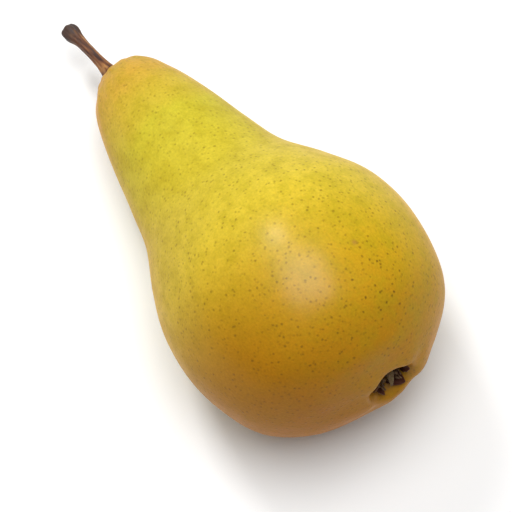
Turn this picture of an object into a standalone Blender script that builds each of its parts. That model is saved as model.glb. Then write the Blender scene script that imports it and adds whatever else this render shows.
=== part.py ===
"""A ripe dessert pear lying on its side, with its stem and its dried flower end.

Every piece is modelled upright, in the fruit's own axes, and then laid down:
local +Z runs from the flower end (the eye) to the stem, and local -X is the side
that the fruit lies on. The origin is the middle of the flat spot it rests on.
"""

from math import atan2, cos, exp, pi, radians, sin, tau

import bmesh
import bpy
from mathutils import Matrix, Vector

MM = 0.001
GAP = 0.3 * MM                     # clearance between neighbouring pieces
WELD = 0.001 * MM                  # points closer than this are one point

# How the pear lies
NECK_DROOP = radians(12.0)         # the stem end points this far below level
FLAT_DEPTH = 0.85 * MM             # how far the resting spot is pressed in

# Fruit outline, as (radius, height) in mm: the eye and its basin at the flower end
EYE_OUTLINE = (
    (0.0, 8.2), (2.4, 8.1), (4.2, 7.2), (4.9, 5.6), (5.2, 4.3), (6.2, 1.7),
)
# ... the body, from the crest of the basin over the belly to the neck
BODY_OUTLINE = (
    (8.3, 0.2), (14.0, 1.9), (21.5, 5.7), (29.4, 12.8), (33.5, 22.7), (35.0, 34.5),
    (33.2, 46.4), (28.2, 57.1), (22.3, 67.9), (19.2, 79.7), (16.5, 91.5),
    (13.7, 101.4), (10.8, 107.9), (6.9, 112.2),
)
# ... and the small seat that the stem grows out of
SEAT_FLOOR = 112.0                 # mm above the flower end
SEAT_OUTLINE = (
    (4.4, 113.3), (3.4, 113.2), (2.9, 112.8), (2.6, SEAT_FLOOR + 0.2), (0.0, SEAT_FLOOR),
)
FRUIT_SIDES = 64
BODY_STEPS = 3                     # points between two stations of the outline
END_STEPS = 2

# How the real fruit differs from a turned one
WAIST_HEIGHT = 61.0 * MM           # the waist is fuller on the side it lies on
WAIST_SPREAD = 16.0 * MM
WAIST_FULLNESS = 2.6 * MM
NECK_DRIFT = 1.2 * MM              # the neck wanders sideways, towards -Y
NECK_DRIFT_START = 40.0 * MM
NECK_DRIFT_END = 78.0 * MM
EYE_SHIFT = 3.8 * MM               # the eye sits to one side of the middle, towards +Y
EYE_SHIFT_REACH = 16.0 * MM
LOBES = 5                          # low swellings round the flower end
LOBE_SWELL = 0.006
LOBE_RISE = 0.3 * MM
LOBE_PHASE = pi                    # one swelling faces the side it lies on
LOBE_REACH = 20.0 * MM
CREST_RADIUS = 10.0 * MM
CREST_WIDTH = 6.0 * MM
RIM_DIP = 1.1 * MM                 # the eye's rim is lower on the side that faces up
OVAL_SWELL = 0.008                 # the belly is slightly oval
OVAL_TURN = radians(35.0)
SHOULDER_RISE = 1.3 * MM           # one side of the neck's end stands higher
SHOULDER_TURN = radians(75.0)
SHOULDER_START = 104.0 * MM
SHOULDER_END = 112.5 * MM
SHOULDER_RADIUS = 8.0 * MM
SEAT_SHIFT = 1.1 * MM              # the stem stands off the middle, towards -Y

# Stem
STEM_SIDES = 16
STEM_LEAN = radians(5.0)           # leans towards -Y ...
STEM_BEND = radians(8.0)           # ... and curves on over its length
STEM_RISE = 21.2                   # mm from its foot in the seat to its end
# (part of its length, radius in mm): foot, shaft and the club where it left the twig
STEM_SECTIONS = (
    (0.0, 1.6), (0.04, 2.0), (0.1, 2.2), (0.17, 1.96), (0.26, 1.64), (0.36, 1.48),
    (0.5, 1.4), (0.64, 1.4), (0.73, 1.52), (0.8, 1.78), (0.87, 2.14), (0.93, 2.3),
    (0.97, 2.18), (1.0, 1.7),
)

# Sepals: five dried tips round the eye
SEPAL_COUNT = 5
SEPAL_FOOT_RADIUS = 4.5 * MM
SEPAL_FOOT_HEIGHT = 3.5 * MM
SEPAL_LENGTH = 4.4 * MM
SEPAL_WIDTH = 4.0 * MM
SEPAL_THICKNESS = 0.55 * MM
SEPAL_TAPER = 0.9                  # how much of its width is gone at the tip ...
SEPAL_TAPER_POWER = 1.5            # ... and how late along the blade it goes
SEPAL_THINNING = 0.4
SEPAL_SIDES = 10
SEPAL_STEPS = 7
SEPAL_TURN = radians(18.0)         # the first sepal's place round the eye
# how far each one leans out from upright at its foot, and how far it curls on (degrees)
SEPAL_POSES = ((-10.0, -62.0), (2.0, 22.0), (4.0, 8.0), (2.0, 26.0), (3.0, 34.0))

# Dried stamens: a low collar inside the eye, carrying the filaments
STAMEN_COUNT = 20
COLLAR_INNER = 2.9 * MM
COLLAR_OUTER = 3.9 * MM
COLLAR_TOP = 6.2 * MM
COLLAR_BOTTOM = 6.9 * MM
FILAMENT_LENGTH = 3.2 * MM
FILAMENT_INSET = 0.16 * MM
FILAMENT_LEAN = 0.6 * MM

# Dried styles: five stubs on one foot in the middle of the eye
STYLE_COUNT = 5
STYLE_FOOT_RADIUS = 1.1 * MM
STYLE_FOOT_TOP = 7.0 * MM
STYLE_FOOT_BOTTOM = 7.6 * MM
STYLE_LENGTH = 3.2 * MM
STYLE_INSET = 0.12 * MM
STYLE_LEAN = 0.5 * MM
TIP_SIZE = 0.5                     # a drawn-out tip against the face it grows from

SHARP_ANGLE = radians(40.0)        # steeper turns between faces show as edges
FACING_OUT = -0.9                  # faces that look straight out of the eye

# Finishes: base colour (linear), roughness; nothing here is metal
SKIN = (0.62, 0.43, 0.045), 0.42
BARK = (0.115, 0.055, 0.022), 0.7
DRY_SEPAL = (0.060, 0.032, 0.018), 0.75
DRY_STAMEN = (0.090, 0.045, 0.020), 0.85
DRY_STYLE = (0.050, 0.028, 0.014), 0.8


def clear_scene():
    for thing in list(bpy.data.objects):
        bpy.data.objects.remove(thing)


def finish(name, colour, roughness):
    """A plain material with the piece's own colour."""
    material = bpy.data.materials.new(name)
    material.use_nodes = True
    shader = material.node_tree.nodes["Principled BSDF"]
    shader.inputs["Base Color"].default_value = (*colour, 1.0)
    shader.inputs["Roughness"].default_value = roughness
    shader.inputs["Metallic"].default_value = 0.0
    return material


def add_piece(name, builder, material, parent):
    """Close a bmesh into a named, smooth-shaded object in the fruit's own axes."""
    bmesh.ops.remove_doubles(builder, verts=builder.verts, dist=WELD)
    bmesh.ops.recalc_face_normals(builder, faces=builder.faces)
    mesh = bpy.data.meshes.new(name)
    builder.to_mesh(mesh)
    builder.free()
    mesh.shade_smooth()
    mesh.set_sharp_from_angle(angle=SHARP_ANGLE)
    mesh.materials.append(material)
    piece = bpy.data.objects.new(name, mesh)
    bpy.context.scene.collection.objects.link(piece)
    piece.parent = parent
    return piece


def ease(value, start, end):
    """0 before start, 1 after end, smooth between."""
    part = min(max((value - start) / (end - start), 0.0), 1.0)
    return part * part * (3.0 - 2.0 * part)


def smooth_outline(stations, steps):
    """Points on a smooth curve through the stations, from the first to the last."""
    points = [Vector(station) * MM for station in stations]
    first = 2.0 * points[0] - points[1]
    last = 2.0 * points[-1] - points[-2]
    padded = [first, *points, last]
    curve = []
    for before, here, there, after in zip(padded, padded[1:], padded[2:], padded[3:]):
        for step in range(steps):
            part = step / steps
            bend = (2.0 * before - 5.0 * here + 4.0 * there - after) * part**2
            swing = (3.0 * (here - there) + after - before) * part**3
            curve.append(here + 0.5 * ((there - before) * part + bend + swing))
    curve.append(points[-1])
    return curve


def fruit_outline():
    """The whole outline, with fewer points at its two small ends."""
    whole = EYE_OUTLINE + BODY_OUTLINE + SEAT_OUTLINE
    curve = smooth_outline(whole, BODY_STEPS * END_STEPS)
    eye_end = len(EYE_OUTLINE) * BODY_STEPS * END_STEPS
    seat_start = (len(EYE_OUTLINE) + len(BODY_OUTLINE)) * BODY_STEPS * END_STEPS
    eye = curve[:eye_end:BODY_STEPS]
    body = curve[eye_end:seat_start:END_STEPS]
    seat = curve[seat_start::BODY_STEPS]
    return eye + body + seat


def grown_shape(point):
    """Move a point of the turned body to where the uneven, real fruit has it."""
    angle = atan2(point.y, point.x)
    radius = point.xy.length
    height = point.z

    lobes = cos(LOBES * angle + LOBE_PHASE)
    near_eye = exp(-(height / LOBE_REACH) ** 4)
    swell = 1.0 + LOBE_SWELL * lobes * near_eye + OVAL_SWELL * cos(2.0 * (angle - OVAL_TURN))
    lying_side = (0.5 * (1.0 - cos(angle))) ** 2
    at_waist = exp(-((height - WAIST_HEIGHT) / WAIST_SPREAD) ** 2)
    fullness = 1.0 + WAIST_FULLNESS * lying_side * at_waist / max(radius, WELD)
    at_crest = exp(-((radius - CREST_RADIUS) / CREST_WIDTH) ** 2) * near_eye
    rim = RIM_DIP * (0.5 * (1.0 + cos(angle))) ** 2 - LOBE_RISE * lobes
    out_from_stem = min(radius / SHOULDER_RADIUS, 1.0)
    higher_side = 0.5 * (1.0 + out_from_stem * cos(angle - SHOULDER_TURN))
    at_shoulder = ease(height, SHOULDER_START, SHOULDER_END)

    drift = NECK_DRIFT * ease(height, NECK_DRIFT_START, NECK_DRIFT_END)
    drift += SEAT_SHIFT * at_shoulder * (1.0 - out_from_stem**2)
    shift = EYE_SHIFT * exp(-(radius / EYE_SHIFT_REACH) ** 4) * near_eye
    return Vector((
        point.x * swell * fullness,
        point.y * swell * fullness - drift + shift,
        height + rim * at_crest + SHOULDER_RISE * higher_side * at_shoulder,
    ))


def eye_middle():
    """The middle of the eye, at the height of the sepals' feet, as a sideways shift."""
    return grown_shape(Vector((0.0, 0.0, SEPAL_FOOT_HEIGHT))).xy.to_3d()


def press_flat(builder):
    """Cut the resting spot at right angles to the fall line; return its middle."""
    down = Vector((-cos(NECK_DROOP), 0.0, sin(NECK_DROOP)))
    reach = max(vert.co.dot(down) for vert in builder.verts) - FLAT_DEPTH
    everything = [*builder.verts, *builder.edges, *builder.faces]
    cut = bmesh.ops.bisect_plane(
        builder, geom=everything, plane_co=down * reach, plane_no=down, clear_outer=True)
    rim = [part for part in cut["geom_cut"] if isinstance(part, bmesh.types.BMEdge)]
    flat = bmesh.ops.edgeloop_fill(builder, edges=rim)["faces"][0]
    return flat.calc_center_median_weighted()


def make_fruit(parent):
    """The body of the fruit, turned, made uneven and pressed flat where it rests."""
    builder = bmesh.new()
    points = [builder.verts.new((spot.x, 0.0, spot.y)) for spot in fruit_outline()]
    edges = [builder.edges.new(pair) for pair in zip(points, points[1:])]
    bmesh.ops.spin(
        builder, geom=points + edges, cent=(0.0, 0.0, 0.0), axis=(0.0, 0.0, 1.0),
        angle=tau, steps=FRUIT_SIDES, use_merge=True)
    bmesh.ops.remove_doubles(builder, verts=builder.verts, dist=WELD)
    for vert in builder.verts:
        vert.co = grown_shape(vert.co)
    flat_middle = press_flat(builder)
    add_piece("fruit", builder, finish("pear_skin", *SKIN), parent)
    return flat_middle


def add_section(builder, centre, along, across, half_width, half_thickness, sides):
    """One oval ring of a swept piece; returns its edges."""
    outward = along.cross(across).normalized()
    turn = Matrix((across, outward, along)).transposed().to_4x4()
    size = Matrix.Diagonal((half_width, half_thickness, 1.0, 1.0))
    place = Matrix.Translation(centre) @ turn @ size
    ring = bmesh.ops.create_circle(builder, segments=sides, radius=1.0, matrix=place)["verts"]
    return [edge for edge in builder.edges if edge.verts[0] in ring and edge.verts[1] in ring]


def close_sections(builder, rings):
    """Join the rings of a swept piece into one skin and close both its ends."""
    for ring, next_ring in zip(rings, rings[1:]):
        bmesh.ops.bridge_loops(builder, edges=ring + next_ring)
    bmesh.ops.holes_fill(builder, edges=builder.edges)


def make_stem(parent):
    """The woody stem, from its foot in the seat to its clubbed end."""
    builder = bmesh.new()
    foot = grown_shape(Vector((0.0, 0.0, SEAT_FLOOR * MM))) + Vector((0.0, 0.0, GAP))
    across = Vector((1.0, 0.0, 0.0))
    rings = []
    centre = foot.copy()
    part_before = 0.0
    for part, radius in STEM_SECTIONS:
        lean = STEM_LEAN + STEM_BEND * (part - 0.5) if part > 0.0 else 0.0
        along = Vector((0.0, -sin(lean), cos(lean)))
        centre = centre + along * (part - part_before) * STEM_RISE * MM
        rings.append(add_section(
            builder, centre, along, across, radius * MM, radius * MM, STEM_SIDES))
        part_before = part
    close_sections(builder, rings)
    add_piece("stem", builder, finish("stem_bark", *BARK), parent)


def make_sepal(number, parent, material):
    """One dried sepal: a thin pointed blade that curls over the eye or away from it."""
    builder = bmesh.new()
    lean, curl = (radians(value) for value in SEPAL_POSES[number])
    around = SEPAL_TURN + tau * number / SEPAL_COUNT
    outward = Vector((cos(around), sin(around), 0.0))
    across = Vector((-sin(around), cos(around), 0.0))
    centre = eye_middle() + outward * SEPAL_FOOT_RADIUS
    centre.z = SEPAL_FOOT_HEIGHT
    rings = []
    for step in range(SEPAL_STEPS + 1):
        part = step / SEPAL_STEPS
        tilt = lean + curl * part
        along = outward * sin(tilt) - Vector((0.0, 0.0, cos(tilt)))
        half_width = 0.5 * SEPAL_WIDTH * (1.0 - SEPAL_TAPER * part**SEPAL_TAPER_POWER)
        half_thickness = 0.5 * SEPAL_THICKNESS * (1.0 - SEPAL_THINNING * part)
        rings.append(add_section(
            builder, centre, along, across, half_width, half_thickness, SEPAL_SIDES))
        centre = centre + along * SEPAL_LENGTH / SEPAL_STEPS
    close_sections(builder, rings)
    add_piece(f"sepal_{number + 1}", builder, material, parent)


def raise_tips(builder, inset, length, lean):
    """Draw every second outer face of a ring round Z out into a thin, leaning tip."""
    builder.normal_update()
    outer = [face for face in builder.faces if face.normal.z < FACING_OUT]
    spots = {face: face.calc_center_median() for face in outer}
    outer.sort(key=lambda face: atan2(spots[face].y, spots[face].x))
    for face in outer[::2]:
        bmesh.ops.inset_individual(builder, faces=[face], thickness=inset)
        tip = bmesh.ops.extrude_discrete_faces(builder, faces=[face])["faces"][0]
        spot = tip.calc_center_median()
        outward = spot.xy.to_3d().normalized()
        for vert in tip.verts:
            narrowed = spot + TIP_SIZE * (vert.co - spot)
            vert.co = narrowed + outward * lean - Vector((0.0, 0.0, length))


def make_stamens(parent):
    """The ring of dried filaments round the inside of the eye."""
    builder = bmesh.new()
    corners = (
        (COLLAR_INNER, COLLAR_TOP), (COLLAR_OUTER, COLLAR_TOP),
        (COLLAR_OUTER, COLLAR_BOTTOM), (COLLAR_INNER, COLLAR_BOTTOM),
    )
    points = [builder.verts.new((radius, 0.0, height)) for radius, height in corners]
    edges = [builder.edges.new(pair) for pair in zip(points, points[1:] + points[:1])]
    bmesh.ops.spin(
        builder, geom=points + edges, cent=(0.0, 0.0, 0.0), axis=(0.0, 0.0, 1.0),
        angle=tau, steps=2 * STAMEN_COUNT, use_merge=True)
    bmesh.ops.recalc_face_normals(builder, faces=builder.faces)
    raise_tips(builder, FILAMENT_INSET, FILAMENT_LENGTH, FILAMENT_LEAN)
    bmesh.ops.translate(builder, verts=builder.verts, vec=eye_middle())
    add_piece("stamens", builder, finish("dry_stamen", *DRY_STAMEN), parent)


def make_styles(parent):
    """The five dried styles, standing on one small foot in the middle of the eye."""
    builder = bmesh.new()
    height = STYLE_FOOT_BOTTOM - STYLE_FOOT_TOP
    place = Matrix.Translation((0.0, 0.0, 0.5 * (STYLE_FOOT_BOTTOM + STYLE_FOOT_TOP)))
    bmesh.ops.create_cone(
        builder, cap_ends=True, cap_tris=True, segments=2 * STYLE_COUNT,
        radius1=STYLE_FOOT_RADIUS, radius2=STYLE_FOOT_RADIUS, depth=height, matrix=place)
    raise_tips(builder, STYLE_INSET, STYLE_LENGTH, STYLE_LEAN)
    bmesh.ops.translate(builder, verts=builder.verts, vec=eye_middle())
    add_piece("styles", builder, finish("dry_style", *DRY_STYLE), parent)


def lay_down(frame, flat_middle):
    """Turn the standing pear onto its side, with the flat spot's middle at the origin."""
    turn = Matrix.Rotation(-(0.5 * pi + NECK_DROOP), 4, "Y")
    frame.rotation_euler = turn.to_euler()
    frame.location = -(turn @ flat_middle)


def main():
    clear_scene()
    frame = bpy.data.objects.new("lying_pear", None)
    bpy.context.scene.collection.objects.link(frame)
    flat_middle = make_fruit(frame)
    make_stem(frame)
    dry_sepal = finish("dry_sepal", *DRY_SEPAL)
    for number in range(SEPAL_COUNT):
        make_sepal(number, frame, dry_sepal)
    make_stamens(frame)
    make_styles(frame)
    lay_down(frame, flat_middle)
    bpy.context.view_layer.update()


main()
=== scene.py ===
from functools import partial
from math import atan2, cos, exp, pi, radians, sin, sqrt, tau

import bmesh
import bpy
from bpy.props import FloatProperty, FloatVectorProperty, PointerProperty
from bpy.types import Operator, Panel, PropertyGroup
from mathutils import Matrix, Vector, noise


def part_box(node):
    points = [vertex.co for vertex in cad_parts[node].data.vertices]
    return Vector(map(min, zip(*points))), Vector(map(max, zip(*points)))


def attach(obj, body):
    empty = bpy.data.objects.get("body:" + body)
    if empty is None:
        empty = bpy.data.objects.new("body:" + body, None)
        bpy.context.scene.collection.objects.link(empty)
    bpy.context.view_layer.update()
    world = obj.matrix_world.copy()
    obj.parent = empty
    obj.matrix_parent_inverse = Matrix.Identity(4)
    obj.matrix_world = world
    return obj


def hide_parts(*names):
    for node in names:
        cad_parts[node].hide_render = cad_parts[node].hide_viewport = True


bl_info = {
    "name": "Ripe Pear",
    "version": (1, 0, 0),
    "blender": (4, 5, 0),
    "location": "3D Viewport > Sidebar > Pear",
    "description": "Grows a ripe yellow pear with its woody stem and its dried flower end",
    "category": "Object",
}

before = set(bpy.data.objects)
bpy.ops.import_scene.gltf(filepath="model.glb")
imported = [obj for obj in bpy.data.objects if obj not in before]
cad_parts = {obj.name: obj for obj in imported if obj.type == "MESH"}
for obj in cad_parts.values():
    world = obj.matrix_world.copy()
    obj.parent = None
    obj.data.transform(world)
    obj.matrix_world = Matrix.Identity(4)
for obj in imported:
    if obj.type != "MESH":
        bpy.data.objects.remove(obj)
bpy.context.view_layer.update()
FRUIT_LOW, FRUIT_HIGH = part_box("fruit")

MM = 0.001
WELD = 0.001 * MM                  # points closer than this are one point
BODY = "root"

# The fruit's shape, upright in its own axes: +Z runs from the flower end to the stem,
# and -X is the side that it lies on. The outline is (radius, height) in mm.
NECK_DROOP = radians(12.0)         # the stem end points this far below level
CAD_STEPS, CAD_SIDES = 3, 64       # how finely the CAD fruit is turned
EYE_OUTLINE = (
    (0.0, 8.2), (2.4, 8.1), (4.2, 7.2), (4.9, 5.6), (5.2, 4.3), (6.2, 1.7),
)
BODY_OUTLINE = (
    (8.3, 0.2), (14.0, 1.9), (21.5, 5.7), (29.4, 12.8), (33.5, 22.7), (35.0, 34.5),
    (33.2, 46.4), (28.2, 57.1), (22.3, 67.9), (19.2, 79.7), (16.5, 91.5),
    (13.7, 101.4), (10.8, 107.9), (6.9, 112.2),
)
SEAT_FLOOR = 112.0
SEAT_OUTLINE = (
    (4.4, 113.3), (2.9, 113.2), (2.3, 112.8), (1.9, SEAT_FLOOR + 0.2), (0.0, SEAT_FLOOR),
)
FRUIT_LENGTH = 114.5 * MM
FRUIT_SIDES = 256
FRUIT_STEPS = 11                   # points between two stations of the outline

# How the real fruit differs from a turned one
WAIST_HEIGHT = 61.0 * MM           # the waist is fuller on the side it lies on
WAIST_SPREAD = 16.0 * MM
WAIST_FULLNESS = 2.6 * MM
NECK_DRIFT = 1.2 * MM              # the neck wanders sideways, towards -Y
NECK_DRIFT_START = 40.0 * MM
NECK_DRIFT_END = 78.0 * MM
EYE_SHIFT = 3.8 * MM               # the eye sits to one side of the middle, towards +Y
EYE_SHIFT_REACH = 16.0 * MM
EYE_HEIGHT = 3.5 * MM              # where the sepals stand in the eye
LOBES = 5                          # low swellings round the flower end
LOBE_SWELL = 0.006
LOBE_RISE = 0.3 * MM
LOBE_PHASE = pi
LOBE_REACH = 20.0 * MM
CREST_RADIUS = 10.0 * MM
CREST_WIDTH = 6.0 * MM
RIM_DIP = 1.1 * MM                 # the eye's rim is lower on the side that faces up
OVAL_SWELL = 0.008                 # the belly is slightly oval
OVAL_TURN = radians(35.0)
SHOULDER_RISE = 1.3 * MM           # one side of the neck's end stands higher
SHOULDER_TURN = radians(75.0)
SHOULDER_START = 104.0 * MM
SHOULDER_END = 112.5 * MM
SHOULDER_RADIUS = 8.0 * MM
SEAT_SHIFT = 1.1 * MM              # the stem stands off the middle, towards -Y

# The skin's own relief, as (size, rise) of each kind of unevenness
BROAD_DENTS = 24.0 * MM, 0.28 * MM
SMALL_DENTS = 9.0 * MM, 0.08 * MM
DIMPLES = 2.4 * MM, 0.014 * MM
EYE_FOLDS, EYE_FOLD_RISE, EYE_FOLD_REACH = 9, 0.07 * MM, 3.5 * MM
STEM_FOLDS, STEM_FOLD_RISE, STEM_FOLD_REACH = 13, 0.1 * MM, 8.0 * MM
FOLD_WANDER, FOLD_WANDER_SIZE = 2.0, 7.0 * MM
FLAT_SOFTNESS = 0.12 * MM          # how gently the resting spot turns into the belly

# Stem outline, as (radius, height) in mm from its foot: flare, shaft and clubbed end
STEM_OUTLINE = (
    (0.0, 0.0), (1.6, 0.1), (2.1, 0.9), (2.25, 2.0), (2.0, 3.4), (1.68, 5.2), (1.48, 7.6),
    (1.40, 10.6), (1.40, 13.2), (1.48, 15.2), (1.74, 16.8), (2.12, 18.2), (2.32, 19.4),
    (2.2, 20.4), (1.75, 21.1), (0.95, 21.35), (0.0, 21.35),
)
STEM_LENGTH = 21.2 * MM
STEM_SIDES = 72
STEM_STEPS = 9
STEM_LEAN = radians(5.0)           # leans towards -Y ...
STEM_BEND = radians(8.0)           # ... and curves on over its length
STEM_RIDGES = 5                    # ribs that run along it, turning slowly
STEM_RIDGE_RISE = 0.075
STEM_RIDGE_TWIST = radians(70.0)
STEM_FIBRES = 0.035                # finer unevenness along the bark
STEM_FIBRE_WIDTH = 0.55 * MM
STEM_FIBRE_LENGTH = 7.0 * MM
STEM_LUMPS = 0.05
STEM_LUMP_SIZE = 2.2 * MM

# Sepals: five dried blades round the eye
SEPAL_COUNT = 5
SEPAL_TURN = radians(18.0)         # the first one's place round the eye
SEPAL_FOOT_RADIUS = 4.7 * MM
SEPAL_FOOT_HEIGHT = 4.4 * MM
SEPAL_THICKNESS = 0.3 * MM
SEPAL_ACROSS = 14                  # faces across a blade and along it
SEPAL_ALONG = 26
SEPAL_CUP = 0.32                   # how far its edges roll towards the eye
SEPAL_CRUMPLE_SIZE = 1.3 * MM
SEPAL_CRUMPLE = 0.2 * MM           # at the tip ...
SEPAL_FOOT_CRUMPLE = 0.3           # ... and this part of it at the foot
SEPAL_RAGGED = 0.16
# lean from upright, curl along the blade, slant sideways, twist (degrees), length, width (mm)
SEPAL_POSES = (
    (-14.0, -66.0, -10.0, 16.0, 6.2, 2.5),
    (0.0, 16.0, -34.0, -20.0, 5.0, 4.6),
    (2.0, 14.0, -26.0, 14.0, 4.4, 5.2),
    (-12.0, 12.0, -16.0, 40.0, 4.0, 3.4),
    (6.0, 30.0, -10.0, -12.0, 4.0, 4.8),
)

# Dried stamens: filaments on a low collar inside the eye
STAMEN_COUNT = 20
STAMEN_RADIUS = 3.5 * MM
STAMEN_FOOT = 6.9 * MM
STAMEN_LENGTH = 5.4 * MM
STAMEN_THICKNESS = 0.26 * MM
STAMEN_TIP = 1.9                   # the shrivelled anther is this much thicker
COLLAR_RADIUS = 0.42 * MM
COLLAR_SIDES = 10

# Dried styles: five threads from one foot in the middle of the eye
STYLE_COUNT = 5
STYLE_RADIUS = 0.55 * MM
STYLE_FOOT = 7.8 * MM
STYLE_LENGTH = 5.6 * MM
STYLE_THICKNESS = 0.38 * MM
STYLE_TIP = 1.5
THREAD_SIDES = 8
THREAD_STEPS = 12
THREAD_WANDER = 1.0 * MM
THREAD_TAPER = 0.45
THREAD_TIP_PLACE, THREAD_TIP_SPREAD = 0.93, 0.07     # parts of its length
THREAD_END = 1.02
STAMEN_SPREAD = 0.35
STAMEN_CLOSING = 0.12              # on the whole they lean in over the middle
STYLE_SPREAD = 0.28

# Skin: ripening, a warm brown flank that is partly painted shade, mottling and grain
RIPENING_SIZE = 24.0 * MM          # riper and greener patches
RIPENING_WANDER = 0.2              # how far they shift the ripening, as a part of the length
RIPENING_PLACES = 0.15, 0.27, 0.5, 0.86, 1.0         # flower end, belly, waist, neck, stem end
# The warm brown flank faces -Y, turned a little towards the side the pear lies on: partly the
# riper skin's own colour, partly painted shade on that lower side.
BLUSH_AND_SHADE_SIDE = (-0.35, -0.94, 0.0)
BLUSH_AND_SHADE_START = -27.0 * MM           # measured from the axis towards that flank
BLUSH_AND_SHADE_END = 22.0 * MM
BLUSH_AND_SHADE_RAGGED = 16.0 * MM
BLUSH_AND_SHADE_MOST = 0.74
BLUSH_AND_SHADE_FADE_START = 18.0 * MM       # measured from the flower end
BLUSH_AND_SHADE_FADE_END = 50.0 * MM
BLUSH_AND_SHADE_LEFT = 0.28                  # part of it that is left on the neck
MOTTLE_SIZE = 4.5 * MM
MOTTLE_MOST = 0.5
GRAIN_SIZE = 0.6 * MM              # the skin's cells, drawn coarse enough to show
GRAIN_DARKEST, GRAIN_PALEST = 0.92, 1.1
SKIN_BUMP = 0.07 * MM
SKIN_SMOOTHEST, SKIN_ROUGHEST = 0.31, 0.41
WAX_MOST = 0.1                     # kept thin, as a washed pear has lost most of its bloom

# Skin: pores, and the spots that aren't plain skin
PORE_STIR = 0.6 * MM               # how far a pore is pulled out of round
PORE_STIR_SIZE = 1.1 * MM
PORE_CORE = 0.15                   # part of its radius that is fully dark
PORE_FAINTEST = 0.3
PORE_RISE = 0.5                    # against the grain's own rise
PORES_LOW, PORES_DARK = 0.2, 0.66  # up to this part of the length they are this dark ...
PORES_HIGH, PORES_FAINT = 0.75, 0.4                  # ... and beyond this part, this faint
RUBBED_PLACE = Vector((28.5, 13.0, 16.0)) * MM       # darker pores here
RUBBED_INNER, RUBBED_OUTER = 3.0 * MM, 13.0 * MM
RUBBED_MORE = 0.35
SCRATCH_PLACE = Vector((31.4, 13.6, 25.0)) * MM
EYE_SHADE_INWARDS = Vector((0.0, 0.0, 4.5)) * MM           # middle of the painted shade deep in the eye, this far inwards of the eye's middle

# Bark, sepals and threads
FIBRE_SIZE = 1.1 * MM
FIBRE_STRETCH = 0.12               # fibres are this much finer across than along
FIBRE_BUMP = 0.22 * MM
BARK_BLOTCH_SIZE = 3.0 * MM
SEAT_SHADE_DARKEST, SEAT_SHADE_END = 3.2 * MM, 6.2 * MM         # painted shade where the stem stands in its seat, measured from the stem's foot
CLUB_START, CLUB_END = 16.5 * MM, 20.5 * MM
SEPAL_BLOTCH_SIZE = 0.9 * MM
SEPAL_BUMP = 0.15 * MM
THREAD_BLOTCH_SIZE = 0.8 * MM

# Stage
WHITE = (1.0, 1.0, 1.0)
PEAR_MIDDLE = Vector((-9.2, -2.4, 34.6)) * MM
PAINT_BLOTCH_SIZE = 0.25
FLOOR_RADIUS = 3.0
FLOOR_SIDES = 96
LIGHT_DISTANCE = 1.1
KEY_SIZE = 0.65                    # the overhead softbox ...
KEY_ELEVATION = radians(83.0)
KEY_TURN = radians(8.0)            # ... this far round from behind the pear
ACCENT_SIZE = 0.22                 # the small one that puts the shine on neck and belly
ACCENT_ELEVATION = radians(50.0)
ACCENT_TURN = radians(31.0)

# ShaderNodeMix keeps one set of sockets per data type; these are the colour ones
MIX_FACTOR, MIX_A, MIX_B, MIX_RESULT = 0, 6, 7, 2


def linear(hex_colour):
    """A '#rrggbb' sRGB colour as linear red, green and blue."""
    channels = (int(hex_colour[place:place + 2], 16) / 255.0 for place in (1, 3, 5))
    return tuple(
        part / 12.92 if part <= 0.04045 else ((part + 0.055) / 1.055) ** 2.4
        for part in channels)


def opaque(colour):
    """A colour with the full alpha that node sockets want."""
    return (*colour, 1.0)


# ------------------------------------------------------------------------- settings


def colour_setting(name, description, hex_colour):
    """A colour that a user can change."""
    return FloatVectorProperty(
        name=name, description=description, subtype="COLOR", size=3, min=0.0, max=1.0,
        default=linear(hex_colour))


def length_setting(name, description, default):
    """A length that a user can change."""
    return FloatProperty(
        name=name, description=description, default=default, min=0.0, unit="LENGTH",
        subtype="DISTANCE", precision=5)


class PearSkinSettings(PropertyGroup):
    """Colours and pores of the skin."""

    stem_end: colour_setting("Stem End", "Tan yellow round the stem", "#d1a83e")
    neck: colour_setting("Neck", "Yellow-green of the neck", "#cbc136")
    waist: colour_setting("Waist", "Clear yellow where the neck meets the belly", "#d8c038")
    belly: colour_setting("Belly", "Golden yellow of the belly", "#c8a21a")
    flower_end: colour_setting("Flower End", "Amber of the flower end", "#be8c14")
    # Warm brown of one flank: partly the riper skin's own colour, partly painted shade on the
    # lower -Y side
    blush_and_shade: colour_setting("Blush", "Warm brown of the flank that saw the sun", "#9b5902")
    glow: colour_setting("Glow", "Light that comes back through the skin's edge", "#ff9820")
    mottle: colour_setting("Mottle", "Olive patches", "#a99a14")
    russet: colour_setting("Russet", "Corky tan round the eye and the stem", "#a47834")
    # Dark brown deep in the eye: partly the basin's own dried brown, partly painted shade of the
    # recess
    eye: colour_setting("Eye", "Dark brown inside the eye", "#28120a")
    pore: colour_setting("Pore", "Olive brown of the pores", "#63480f")
    pore_spacing: length_setting("Pore Spacing", "Size of the cell that holds one pore", 1.32 * MM)
    pore_radius: length_setting("Pore Radius", "Largest radius of a pore", 0.5 * MM)


class PearStemSettings(PropertyGroup):
    """Colours of the bark."""

    bark: colour_setting("Bark", "Mid brown of the shaft", "#764622")
    # Tan of the raised fibres: partly the bark's own colour, partly painted highlight
    ridge: colour_setting("Ridge", "Tan of the ridges", "#a97640")
    # Dark red-brown of the low fibres: partly the bark's own colour, partly painted shade; it also
    # paints the shade at the stem's foot
    groove_and_shade: colour_setting("Groove", "Dark red-brown between the ridges", "#34160a")
    club: colour_setting("Club", "Dark grey-brown of the clubbed end", "#3a2b27")


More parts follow.
